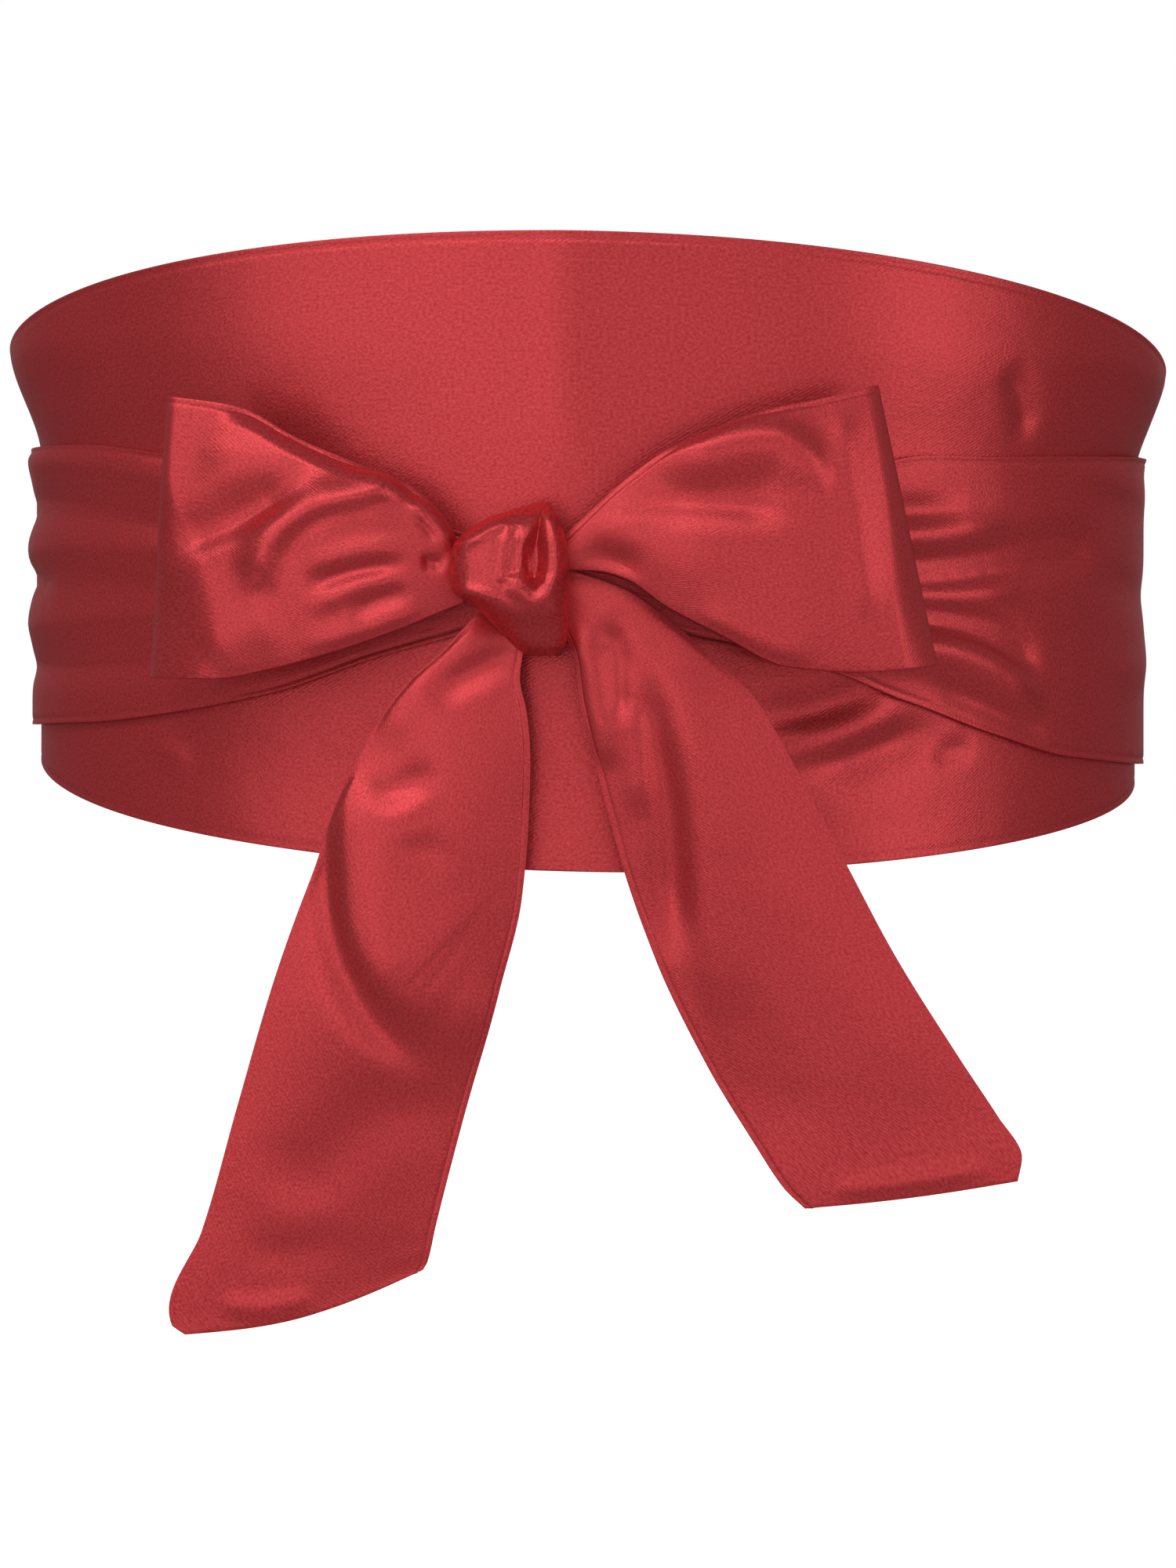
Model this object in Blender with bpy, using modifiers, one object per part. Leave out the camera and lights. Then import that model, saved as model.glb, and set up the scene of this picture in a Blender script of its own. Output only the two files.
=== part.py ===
"""A satin waist sash, worn and tied.

A wide panel goes round the front and sides of the waist. A tie is sewn to each of its ends. The two
ties cross behind, come forward over the panel, and are tied in a bow in front of it.

Metres, +Z up. The origin is the middle of the waist hollow, level with the middle of the panel.
The bow faces -Y, and +X is to the right of someone who faces the bow. An angle round the waist is
0 at the front and grows towards +X.
"""

import math
from collections import namedtuple

import bmesh
import bpy
from mathutils import Vector

MM = 0.001

# ---------------------------------------------------------------------------------------------
# Driving sizes, in millimetres and degrees where a name or a column says so
# ---------------------------------------------------------------------------------------------

# The waist is an oval tube. These are the half axes of the panel's middle layer.
WAIST_HALF_WIDTH = 136.0 * MM
WAIST_HALF_DEPTH = 96.3 * MM
FLARE_WIDTH = 7.7 * MM          # the panel's upper edge stands out by this much at the sides
FLARE_DEPTH = 3.8 * MM          # and by this much in front
FLARE_FROM = 29.0 * MM          # height where the ties stop pulling the panel in
FLARE_TO = 50.0 * MM
SIDE_DROP = 0.02                # the sash hangs lower towards +X by this share

PANEL_WALL = 1.8 * MM
PANEL_END_DEG = 131.0           # angle of the two seams where the ties are sewn on
PANEL_MIDDLE_HALF = 75.0 * MM
PANEL_END_HALF = 36.0 * MM
PANEL_TAPER = 1.4               # power of the curve from the middle height to the end height

TIE_WALL = 1.6 * MM
SEAM_GAP = 0.6 * MM
WRAP_LIFT_MM = 2.3              # middle of a tie's wall, outside the middle of the panel's wall

# A tie from the seam at its root, across the back, to the panel's other end.
# turn_deg is the angle past its own root. The ties cross where it is half of the open back.
BackRow = namedtuple("BackRow", "turn_deg middle_mm half_mm")
BACK_ROWS = (
    BackRow(0, 0, 36),
    BackRow(12, -8, 26),
    BackRow(24, -18, 14),
    BackRow(33, -17, 12.5),
    BackRow(49, 0, 14),
    BackRow(65, 17, 12.5),
    BackRow(74, 17, 14),
    BackRow(85, 9, 22),
    BackRow(98, -3, 30),
)

# How far each tie stands out from the panel's layer as it crosses the back.
LiftRow = namedtuple("LiftRow", "turn_deg lift_mm")
UNDER_LIFT = (
    LiftRow(0, 0),
    LiftRow(65, 0),
    LiftRow(73, 4.2),
    LiftRow(98, WRAP_LIFT_MM),
)
OVER_LIFT = (
    LiftRow(0, 0),
    LiftRow(25, 0),
    LiftRow(33, 4.5),
    LiftRow(73, 4.2),
    LiftRow(98, WRAP_LIFT_MM),
)

# A tie on the panel, from the knot to the panel's end.
WrapRow = namedtuple("WrapRow", "angle_deg middle_mm half_mm")
LEFT_WRAP_ROWS = (
    WrapRow(-8, -8, 9),
    WrapRow(-20, -8, 17),
    WrapRow(-33, -8.5, 26),
    WrapRow(-47, -8.5, 31),
    WrapRow(-60, -8.2, 33.5),
    WrapRow(-85, -8, 34.3),
    WrapRow(-110, -7, 33),
    WrapRow(-131, -3, 30),
)
RIGHT_WRAP_ROWS = (
    WrapRow(-5, -8, 8),
    WrapRow(12, -6, 15),
    WrapRow(25, -4, 23),
    WrapRow(33, -4.5, 28.8),
    WrapRow(44, -7.4, 32.9),
    WrapRow(57, -9.2, 36.2),
    WrapRow(85, -8.6, 38),
    WrapRow(110, -6, 34.5),
    WrapRow(131, -3, 30),
)

# A bow loop: its two long edges from the knot to the fold at its end, the depth of its middle
# and half the space between its front and back layers.
LoopRow = namedtuple("LoopRow", "share top_x_mm top_z_mm low_x_mm low_z_mm depth_mm half_gap_mm")
LEFT_LOOP_ROWS = (
    LoopRow(0.00, -32.6, 1.0, -32.4, -13.5, -111, 2.4),
    LoopRow(0.06, -35.0, 9.0, -35.5, -15.2, -110.5, 3.2),
    LoopRow(0.14, -41.5, 14.6, -42.5, -17.8, -110, 4.2),
    LoopRow(0.36, -54.6, 20.4, -58.0, -23.2, -108.5, 5.4),
    LoopRow(0.55, -68.3, 26.6, -73.0, -27.4, -106, 5.6),
    LoopRow(0.76, -81.0, 33.0, -87.4, -29.8, -102.5, 4.8),
    LoopRow(1.00, -97.5, 36.2, -102.6, -29.4, -97.5, 3.4),
)
RIGHT_LOOP_ROWS = (
    LoopRow(0.00, -4.9, 4.0, -3.9, -3.6, -110, 2.2),
    LoopRow(0.06, 0.8, 8.6, 2.2, -4.6, -110, 2.8),
    LoopRow(0.16, 9.1, 16.2, 10.0, -7.4, -109.5, 3.8),
    LoopRow(0.28, 18.2, 22.6, 19.5, -13.4, -109, 4.8),
    LoopRow(0.42, 28.5, 27.4, 30.5, -19.4, -108, 5.6),
    LoopRow(0.60, 42.0, 32.2, 46.5, -26.8, -105.5, 5.6),
    LoopRow(0.80, 55.0, 35.4, 63.5, -28.2, -101.5, 4.6),
    LoopRow(1.00, 67.0, 38.6, 81.0, -26.8, -97.0, 3.4),
)
LOOP_FOLD_SHARE = 0.955         # where the front layer starts to turn into the fold
LOOP_EDGE_GAP = 0.62            # the layers lie closer at the long edges, by this factor

# The knot, in level sections from its foot to its tip.
KnotRow = namedtuple("KnotRow", "height_mm left_mm right_mm front_mm back_mm")
KNOT_ROWS = (
    KnotRow(-24.4, -12.5, -9.5, -112.0, -108.0),
    KnotRow(-22.5, -17.0, -6.5, -116.0, -103.5),
    KnotRow(-19.0, -21.5, -5.0, -119.0, -101.0),
    KnotRow(-14.0, -27.0, -4.5, -121.5, -99.4),
    KnotRow(-7.0, -32.0, -4.2, -123.0, -99.3),
    KnotRow(-1.0, -31.2, -4.6, -122.5, -99.3),
    KnotRow(4.0, -23.0, -5.8, -120.0, -100.5),
    KnotRow(8.0, -15.5, -6.6, -116.5, -103.0),
    KnotRow(10.7, -11.0, -8.0, -112.5, -107.5),
)
KNOT_SQUARENESS = 2.5           # power of the oval that each level section follows

# A tail of the bow, from the knot down to its slanted end.
TailRow = namedtuple("TailRow", "share left_x_mm left_z_mm right_x_mm right_z_mm depth_mm bulge_mm")
LEFT_TAIL_ROWS = (
    TailRow(0.00, -27.7, -15.4, -15.0, -24.6, -108.5, 0.0),
    TailRow(0.04, -34.6, -24.0, -15.5, -31.0, -107.5, 1.5),
    TailRow(0.09, -42.0, -31.4, -14.2, -38.0, -107.0, 3.0),
    TailRow(0.16, -50.0, -42.5, -13.6, -48.0, -106.0, 4.0),
    TailRow(0.26, -58.2, -59.5, -14.0, -62.0, -104.5, 5.0),
    TailRow(0.38, -66.0, -80.0, -15.6, -81.0, -103.5, 6.0),
    TailRow(0.52, -73.4, -101.0, -21.0, -103.0, -102.5, 6.0),
    TailRow(0.70, -82.0, -130.0, -29.2, -132.5, -100.0, 3.0),
    TailRow(0.88, -90.4, -159.0, -35.8, -158.5, -98.0, 0.5),
    TailRow(1.00, -97.6, -180.8, -38.2, -168.8, -97.0, 0.0),
)
RIGHT_TAIL_ROWS = (
    TailRow(0.00, -4.5, -19.0, -3.9, -6.2, -106.5, 0.0),
    TailRow(0.06, -2.4, -26.5, 9.1, -11.0, -106.5, 1.5),
    TailRow(0.12, -1.8, -33.5, 18.2, -17.0, -106.0, 3.0),
    TailRow(0.20, -0.5, -41.0, 28.0, -25.0, -105.5, 4.0),
    TailRow(0.28, 1.5, -48.5, 38.2, -34.4, -105.0, 4.0),
    TailRow(0.38, 4.4, -60.0, 48.0, -50.5, -104.0, 3.5),
    TailRow(0.52, 9.2, -77.0, 59.6, -72.0, -103.0, 3.0),
    TailRow(0.68, 16.4, -96.8, 71.5, -94.2, -101.5, 2.0),
    TailRow(0.84, 28.0, -120.5, 86.5, -118.0, -99.5, 1.0),
    TailRow(0.94, 39.5, -139.5, 96.0, -133.0, -98.5, 0.5),
    TailRow(1.00, 50.0, -154.0, 102.0, -143.5, -98.0, 0.0),
)
TAIL_END_BOW = 3.0 * MM         # the cut end curves down between its corners

SATIN_RED = (0.48, 0.05, 0.055, 1.0)
SATIN_RED_SHADE = (0.33, 0.03, 0.032, 1.0)
SATIN_ROUGHNESS = 0.38

COLLECTION_NAME = "satin_sash"


# ---------------------------------------------------------------------------------------------
# Reading the tables
# ---------------------------------------------------------------------------------------------

def end_slope(first_step, second_step, first_slope, second_slope):
    """Slope at the first row of a table, from the first two stretches."""
    slope = ((2 * first_step + second_step) * first_slope - first_step * second_slope)
    slope /= first_step + second_step
    if slope * first_slope <= 0:
        return 0.0
    if first_slope * second_slope <= 0 and abs(slope) > 3 * abs(first_slope):
        return 3 * first_slope
    return slope


def row_slopes(keys, values):
    """Slopes that carry a smooth curve through the rows without overshooting any of them."""
    steps = [after - before for before, after in zip(keys, keys[1:])]
    rises = [(after - before) / step for before, after, step in zip(values, values[1:], steps)]
    slopes = [end_slope(steps[0], steps[1], rises[0], rises[1])]
    for index in range(1, len(keys) - 1):
        before, after = rises[index - 1], rises[index]
        if before * after <= 0:
            slopes.append(0.0)
            continue
        weight_before = 2 * steps[index] + steps[index - 1]
        weight_after = steps[index] + 2 * steps[index - 1]
        total = weight_before + weight_after
        slopes.append(total / (weight_before / before + weight_after / after))
    slopes.append(end_slope(steps[-1], steps[-2], rises[-1], rises[-2]))
    return slopes


def column_curve(rows, column):
    """A function that reads one column of a table between its rows. The first column is the key."""
    keys = [row[0] for row in rows]
    values = [getattr(row, column) for row in rows]
    if keys[0] > keys[-1]:
        keys.reverse()
        values.reverse()
    slopes = row_slopes(keys, values)

    def value_at(key):
        key = min(max(key, keys[0]), keys[-1])
        index = 0
        while index < len(keys) - 2 and key > keys[index + 1]:
            index += 1
        step = keys[index + 1] - keys[index]
        t = (key - keys[index]) / step
        start = values[index] * (1 + 2 * t) * (1 - t) ** 2
        leave = slopes[index] * step * t * (1 - t) ** 2
        end = values[index + 1] * t * t * (3 - 2 * t)
        arrive = slopes[index + 1] * step * t * t * (t - 1)
        return start + leave + end + arrive

    return value_at


def smooth_step(low, high, value):
    """0 below low, 1 above high, and an even rise between them."""
    share = min(max((value - low) / (high - low), 0.0), 1.0)
    return share * share * (3.0 - 2.0 * share)


def mix(start, end, share):
    """The value at a share of the way from start to end."""
    return start + (end - start) * share


# ---------------------------------------------------------------------------------------------
# Shapes
# ---------------------------------------------------------------------------------------------

def waist_point(angle_deg, height, out):
    """A point on the panel's layer, or outside it by a distance."""
    angle = math.radians(angle_deg)
    flare = smooth_step(FLARE_FROM, FLARE_TO, height)
    x = (WAIST_HALF_WIDTH + FLARE_WIDTH * flare + out) * math.sin(angle)
    y = -(WAIST_HALF_DEPTH + FLARE_DEPTH * flare + out) * math.cos(angle)
    return Vector((x, y, height - SIDE_DROP * x))


def panel_half_height(angle_deg):
    """Half of the panel's height, which falls from the front to the ends."""
    share = math.cos(math.radians(90.0 * angle_deg / PANEL_END_DEG))
    return PANEL_END_HALF + (PANEL_MIDDLE_HALF - PANEL_END_HALF) * max(share, 0.0) ** PANEL_TAPER


def panel_shape(along, across):
    """The panel. A line of its points runs along the height where the flare begins."""
    angle = mix(-PANEL_END_DEG, PANEL_END_DEG, along)
    half = panel_half_height(angle)
    below = 0.6
    if across < below:
        height = mix(-half, FLARE_FROM, across / below)
    else:
        height = mix(FLARE_FROM, half, (across - below) / (1.0 - below))
    return waist_point(angle, height, 0.0)


def wrap_shape(rows):
    """A tie's stretch over the panel, made from the panel's points moved out."""
    middle = column_curve(rows, "middle_mm")
    half = column_curve(rows, "half_mm")

    def shape(along, across):
        angle = mix(rows[0].angle_deg, rows[-1].angle_deg, along)
        height = middle(angle) + half(angle) * (2.0 * across - 1.0)
        return waist_point(angle, height * MM, WRAP_LIFT_MM * MM)

    return shape


def back_shape(root_deg, direction, lift_rows):
    """A tie's stretch across the open back, from its root to where it reaches the panel again."""
    middle = column_curve(BACK_ROWS, "middle_mm")
    half = column_curve(BACK_ROWS, "half_mm")
    lift = column_curve(lift_rows, "lift_mm")
    open_back = BACK_ROWS[-1].turn_deg
    gap_deg = math.degrees(SEAM_GAP / WAIST_HALF_DEPTH)

    def shape(along, across):
        turn = mix(gap_deg, open_back - gap_deg, along)
        height = middle(turn) + half(turn) * (2.0 * across - 1.0)
        return waist_point(root_deg + direction * turn, height * MM, lift(turn) * MM)

    return shape


def loop_shape(rows):
    """A bow loop: out along its front layer, round the fold, and back along its back layer."""
    top_x = column_curve(rows, "top_x_mm")
    top_z = column_curve(rows, "top_z_mm")
    low_x = column_curve(rows, "low_x_mm")
    low_z = column_curve(rows, "low_z_mm")
    depth = column_curve(rows, "depth_mm")
    half_gap = column_curve(rows, "half_gap_mm")
    straight = 0.88                       # share of each layer's points before the fold

    def shape(along, across):
        side = -1.0 if along < 0.5 else 1.0
        travel = 1.0 - abs(2.0 * along - 1.0)
        turn = max(travel - straight, 0.0) / (1.0 - straight) * math.pi / 2
        share = min(travel / straight, 1.0) * LOOP_FOLD_SHARE
        share += (1.0 - LOOP_FOLD_SHARE) * math.sin(turn)
        edge = mix(LOOP_EDGE_GAP, 1.0, math.sin(math.pi * across))
        gap = half_gap(share) * edge * math.cos(turn)
        x = mix(low_x(share), top_x(share), across)
        z = mix(low_z(share), top_z(share), across)
        return Vector((x, depth(share) + side * gap, z)) * MM

    return shape


def tail_shape(rows):
    """A tail of the bow: a flat tie whose middle stands forward a little."""
    left_x = column_curve(rows, "left_x_mm")
    left_z = column_curve(rows, "left_z_mm")
    right_x = column_curve(rows, "right_x_mm")
    right_z = column_curve(rows, "right_z_mm")
    depth = column_curve(rows, "depth_mm")
    bulge = column_curve(rows, "bulge_mm")

    def shape(along, across):
        arch = math.sin(math.pi * across)
        x = mix(left_x(along), right_x(along), across) * MM
        y = (depth(along) - bulge(along) * arch) * MM
        z = mix(left_z(along), right_z(along), across) * MM
        z -= TAIL_END_BOW * arch * along ** 8
        return Vector((x, y, z))

    return shape


# ---------------------------------------------------------------------------------------------
# Making the objects
# ---------------------------------------------------------------------------------------------

def clear_scene():
    """Remove whatever the startup file put in the scene."""
    for scene_object in list(bpy.data.objects):
        bpy.data.objects.remove(scene_object, do_unlink=True)


def new_collection(name):
    """A collection linked to the scene."""
    collection = bpy.data.collections.new(name)
    bpy.context.scene.collection.children.link(collection)
    return collection


def satin(name, colour):
    """A plain satin material."""
    material = bpy.data.materials.new(name)
    material.use_nodes = True
    shader = material.node_tree.nodes["Principled BSDF"]
    shader.inputs["Base Color"].default_value = colour
    shader.inputs["Roughness"].default_value = SATIN_ROUGHNESS
    shader.inputs["Metallic"].default_value = 0.0
    return material


def add_object(name, grid, colour, collection):
    """Turn a bmesh into a named object with its own material."""
    mesh = bpy.data.meshes.new(name)
    grid.to_mesh(mesh)
    grid.free()
    mesh.materials.append(satin(name + "_satin", colour))
    mesh.shade_smooth()
    cloth_object = bpy.data.objects.new(name, mesh)
    collection.objects.link(cloth_object)
    return cloth_object


def cloth(name, shape, columns, rows, wall, colour, collection):
    """A cloth wall: a grid laid on a shape and given its thickness."""
    grid = bmesh.new()
    bmesh.ops.create_grid(grid, x_segments=columns, y_segments=rows, size=0.5)
    for vertex in grid.verts:
        vertex.co = shape(vertex.co.x + 0.5, vertex.co.y + 0.5)
    cloth_object = add_object(name, grid, colour, collection)
    solidify = cloth_object.modifiers.new("wall", "SOLIDIFY")
    solidify.thickness = wall
    solidify.offset = 0.0
    solidify.use_rim = True
    return cloth_object


def signed_power(value, power):
    """A power that keeps the sign of its base."""
    return math.copysign(abs(value) ** power, value)


def knot(name, colour, collection):
    """The knot: the wound layers of both ties as one rounded solid, from a reshaped sphere."""
    left = column_curve(KNOT_ROWS, "left_mm")
    right = column_curve(KNOT_ROWS, "right_mm")
    front = column_curve(KNOT_ROWS, "front_mm")
    back = column_curve(KNOT_ROWS, "back_mm")
    foot, tip = KNOT_ROWS[0].height_mm, KNOT_ROWS[-1].height_mm
    ball = bmesh.new()
    bmesh.ops.create_uvsphere(ball, u_segments=28, v_segments=16, radius=1.0)
    for vertex in ball.verts:
        height = mix(foot, tip, (vertex.co.z + 1.0) / 2.0)
        reach = math.hypot(vertex.co.x, vertex.co.y)
        is_pole = reach < 0.01
        across = 0.0 if is_pole else signed_power(vertex.co.x / reach, 2.0 / KNOT_SQUARENESS)
        inward = 0.0 if is_pole else signed_power(vertex.co.y / reach, 2.0 / KNOT_SQUARENESS)
        x = mix(left(height), right(height), (1.0 + across) / 2.0)
        y = mix(front(height), back(height), (1.0 + inward) / 2.0)
        vertex.co = Vector((x, y, height)) * MM
    return add_object(name, ball, colour, collection)


def build():
    """Make every piece of the sash."""
    clear_scene()
    sash = new_collection(COLLECTION_NAME)
    cloth("panel", panel_shape, 60, 10, PANEL_WALL, SATIN_RED, sash)
    cloth("wrap_left", wrap_shape(LEFT_WRAP_ROWS), 30, 6, TIE_WALL, SATIN_RED_SHADE, sash)
    cloth("wrap_right", wrap_shape(RIGHT_WRAP_ROWS), 32, 6, TIE_WALL, SATIN_RED_SHADE, sash)
    back_under = back_shape(PANEL_END_DEG, 1.0, UNDER_LIFT)
    cloth("back_under", back_under, 28, 6, TIE_WALL, SATIN_RED_SHADE, sash)
    back_over = back_shape(-PANEL_END_DEG, -1.0, OVER_LIFT)
    cloth("back_over", back_over, 28, 6, TIE_WALL, SATIN_RED, sash)
    cloth("bow_loop_left", loop_shape(LEFT_LOOP_ROWS), 40, 6, TIE_WALL, SATIN_RED, sash)
    cloth("bow_loop_right", loop_shape(RIGHT_LOOP_ROWS), 40, 6, TIE_WALL, SATIN_RED, sash)
    knot("knot", SATIN_RED, sash)
    cloth("tail_left", tail_shape(LEFT_TAIL_ROWS), 22, 6, TIE_WALL, SATIN_RED, sash)
    cloth("tail_right", tail_shape(RIGHT_TAIL_ROWS), 22, 6, TIE_WALL, SATIN_RED, sash)


build()
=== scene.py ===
# %% [markdown]
# # A satin waist sash, tied in a bow
#
# The sash is a wide panel of red satin that goes round the front and sides of a waist. A tie is
# sewn to each of its ends. The ties cross behind, come forward over the panel and make a bow.
# The solid model already holds the sizes. This lesson lays fine cloth on those forms, folds it,
# and gives it the sheen of satin. Everything is in metres, and -Y is the front.

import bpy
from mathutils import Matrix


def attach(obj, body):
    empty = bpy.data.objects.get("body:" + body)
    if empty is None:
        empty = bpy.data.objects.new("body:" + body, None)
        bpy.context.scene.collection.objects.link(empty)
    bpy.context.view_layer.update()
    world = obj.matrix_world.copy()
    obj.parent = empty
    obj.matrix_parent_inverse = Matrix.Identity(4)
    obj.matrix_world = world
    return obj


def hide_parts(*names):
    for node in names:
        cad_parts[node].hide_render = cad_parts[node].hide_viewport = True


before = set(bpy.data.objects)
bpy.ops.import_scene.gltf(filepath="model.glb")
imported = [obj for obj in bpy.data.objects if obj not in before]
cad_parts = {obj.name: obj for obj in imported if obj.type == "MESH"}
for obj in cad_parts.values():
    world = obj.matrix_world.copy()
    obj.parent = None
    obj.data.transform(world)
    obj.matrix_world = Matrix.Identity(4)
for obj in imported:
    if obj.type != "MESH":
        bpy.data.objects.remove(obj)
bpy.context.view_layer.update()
print("nodes:", sorted(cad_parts))

# %% Modules and units
import math
from collections import namedtuple

import bmesh
import bpy
import numpy as np
from mathutils import Vector

MM = 0.001

# %% [markdown]
# ## Tables and the curves through them
#
# A piece of cloth is described by a few rows, each with named columns, such as where its two
# edges lie. Between the rows its shape has to be smooth but must not swing past them, or an edge
# would wobble. A cubic curve whose slope is zero wherever the rows turn back does both.

# %% A smooth curve through a column
def row_slopes(keys, values):
    """Slopes of a smooth curve through the rows that overshoots none of them."""
    steps = np.diff(keys)
    rises = np.diff(values) / steps
    slopes = np.zeros(len(keys))
    slopes[0], slopes[-1] = rises[0], rises[-1]
    for index in range(1, len(keys) - 1):
        before, after = rises[index - 1], rises[index]
        if before * after > 0:
            slopes[index] = 2.0 * before * after / (before + after)
    return slopes


def column_curve(rows, column):
    """A function that reads one column of a table between its rows; the first column is the key."""
    keys = np.array([row[0] for row in rows], dtype=float)
    values = np.array([getattr(row, column) for row in rows], dtype=float)
    slopes = row_slopes(keys, values)

    def values_at(key):
        key = np.clip(key, keys[0], keys[-1])
        index = np.clip(np.searchsorted(keys, key, side="right") - 1, 0, len(keys) - 2)
        step = keys[index + 1] - keys[index]
        t = (key - keys[index]) / step
        start = values[index] * (1 + 2 * t) * (1 - t) ** 2
        leave = slopes[index] * step * t * (1 - t) ** 2
        end = values[index + 1] * t * t * (3 - 2 * t)
        arrive = slopes[index + 1] * step * t * t * (t - 1)
        return start + leave + end + arrive

    return values_at


def smooth_step(low, high, value):
    """0 below low, 1 above high, and an even rise between them."""
    share = np.clip((value - low) / (high - low), 0.0, 1.0)
    return share * share * (3.0 - 2.0 * share)


def mix(start, end, share):
    """The value at a share of the way from start to end."""
    return start + (end - start) * share

# %% [markdown]
# ## Folds
#
# Satin shows its folds by light alone, so their place and steepness make the picture. Each fold is
# a line on the cloth with a height: above zero it is a ridge, below zero a trough. Its two sides
# have their own widths, because a real fold is steep on one side and soft on the other, and it
# fades out at its ends. Simulated cloth would fold in places of its own, so these are given one by
# one. A patch is a flat rise or hollow inside an outline.

# %% Folds as lines with a height
Fold = namedtuple("Fold", "path height left right fade")
SAMPLES_PER_FOLD = 18


def fold_line(path):
    """Many points on a smooth curve through the few points of a fold's path."""
    points = np.array(path, dtype=float)
    if len(points) == 2:
        shares = np.linspace(0, 1, SAMPLES_PER_FOLD)[:, None]
        return points[0] + (points[1] - points[0]) * shares
    reach = np.concatenate([[0], np.cumsum(np.hypot(*np.diff(points, axis=0).T))])
    padded = np.vstack([2 * points[0] - points[1], points, 2 * points[-1] - points[-2]])
    line = []
    for distance in np.linspace(0, reach[-1], SAMPLES_PER_FOLD):
        index = min(np.searchsorted(reach, distance, side="right") - 1, len(points) - 2)
        t = (distance - reach[index]) / (reach[index + 1] - reach[index])
        before, start, end, after = padded[index:index + 4]
        line.append(0.5 * (2 * start + (end - before) * t
                           + (2 * before - 5 * start + 4 * end - after) * t ** 2
                           + (3 * start - before - 3 * end + after) * t ** 3))
    return np.array(line)


def nearest_on(line, a, b):
    """Distance to a line of points, the share along it, and whether a point is on its left."""
    starts, steps = line[:-1], np.diff(line, axis=0)
    offset_a = a[:, None] - starts[None, :, 0]
    offset_b = b[:, None] - starts[None, :, 1]
    length_2 = (steps ** 2).sum(axis=1)[None, :]
    along = np.clip((offset_a * steps[:, 0] + offset_b * steps[:, 1]) / length_2, 0, 1)
    away_a = offset_a - along * steps[:, 0]
    away_b = offset_b - along * steps[:, 1]
    distance = np.hypot(away_a, away_b)
    nearest = distance.argmin(axis=1)
    pick = np.arange(len(a))
    distance = distance[pick, nearest]
    turn = steps[nearest, 0] * away_b[pick, nearest] - steps[nearest, 1] * away_a[pick, nearest]
    share = (nearest + along[pick, nearest]) / len(steps)
    return distance, share, turn > 0


def fold_height(fold, a, b):
    """The height that a fold adds at cloth coordinates a, b (all in millimetres)."""
    distance, share, is_left = nearest_on(fold_line(fold.path), a, b)
    width = np.where(is_left, fold.left, fold.right)
    fade = smooth_step(0, fold.fade, share) * smooth_step(0, fold.fade, 1 - share)
    return fold.height * fade * np.exp(-(distance / width) ** 2)


# %% Patches inside an outline
Patch = namedtuple("Patch", "outline height rim")


def patch_height(patch, a, b):
    """A flat rise or hollow inside a closed outline, reached over the width of its rim."""
    line = fold_line(patch.outline + patch.outline[:1])
    distance, _, _ = nearest_on(line, a, b)
    x1, y1 = line[:-1, 0], line[:-1, 1]
    x2, y2 = line[1:, 0], line[1:, 1]
    spans = (y1 > b[:, None]) != (y2 > b[:, None])
    rise = np.where(np.abs(y2 - y1) < 1e-9, 1e-9, y2 - y1)
    crossing = spans & (a[:, None] < x1 + (x2 - x1) * (b[:, None] - y1) / rise)
    is_inside = crossing.sum(axis=1) % 2 == 1
    return patch.height * is_inside * smooth_step(0, patch.rim, distance)


def relief(features, a, b):
    """The height of all folds and patches together."""
    total = np.zeros(len(a))
    for feature in features:
        height = patch_height if isinstance(feature, Patch) else fold_height
        total += height(feature, a, b)
    return total

# %% [markdown]
# ## Laying cloth
#
# Every piece starts as a flat grid, is carried onto its form, and is then pushed out or in along
# its own surface by its folds. A Solidify modifier gives it the thickness of two layers of satin,
# and a small bevel rounds the edge where the layers meet. The grid also gets a UV map in metres,
# so that the weave runs along the cloth and has one size everywhere.

# %% A grid laid on a form
EDGE_CROWDING = 0.45          # how much closer the grid's rows lie at the long edges
WEAVE_UV = "cloth_metres"
EDGE_ROUNDING = 0.34          # share of the thickness that the rolled edge rounds
EDGE_STEPS = 2
SHARP_EDGE = math.radians(50)


def crowd_edges(share):
    """Shares from 0 to 1 that lie closer together near both ends."""
    return share - EDGE_CROWDING * np.sin(2 * math.pi * share) / (2 * math.pi)


def laid_grid(form, columns, rows):
    """A grid whose points are given by form(along, across), both from 0 to 1."""
    grid = bmesh.new()
    bmesh.ops.create_grid(grid, x_segments=columns, y_segments=rows, size=0.5)
    flat = np.array([vertex.co[:2] for vertex in grid.verts]) + 0.5
    along, across = flat[:, 0], crowd_edges(flat[:, 1])
    points = form(along, across)
    for vertex, point in zip(grid.verts, points):
        vertex.co = point
    grid.normal_update()
    return grid, along, across


def push_out(grid, heights, outward):
    """Move the grid's points along their normals, turned so that they face outward."""
    normals = np.array([vertex.normal for vertex in grid.verts])
    places = np.array([vertex.co for vertex in grid.verts])
    side = np.sign((normals * outward(places)).sum(axis=1))
    side[side == 0] = 1.0
    places += normals * (side * heights)[:, None]
    for vertex, place in zip(grid.verts, places):
        vertex.co = place
    grid.normal_update()


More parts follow.
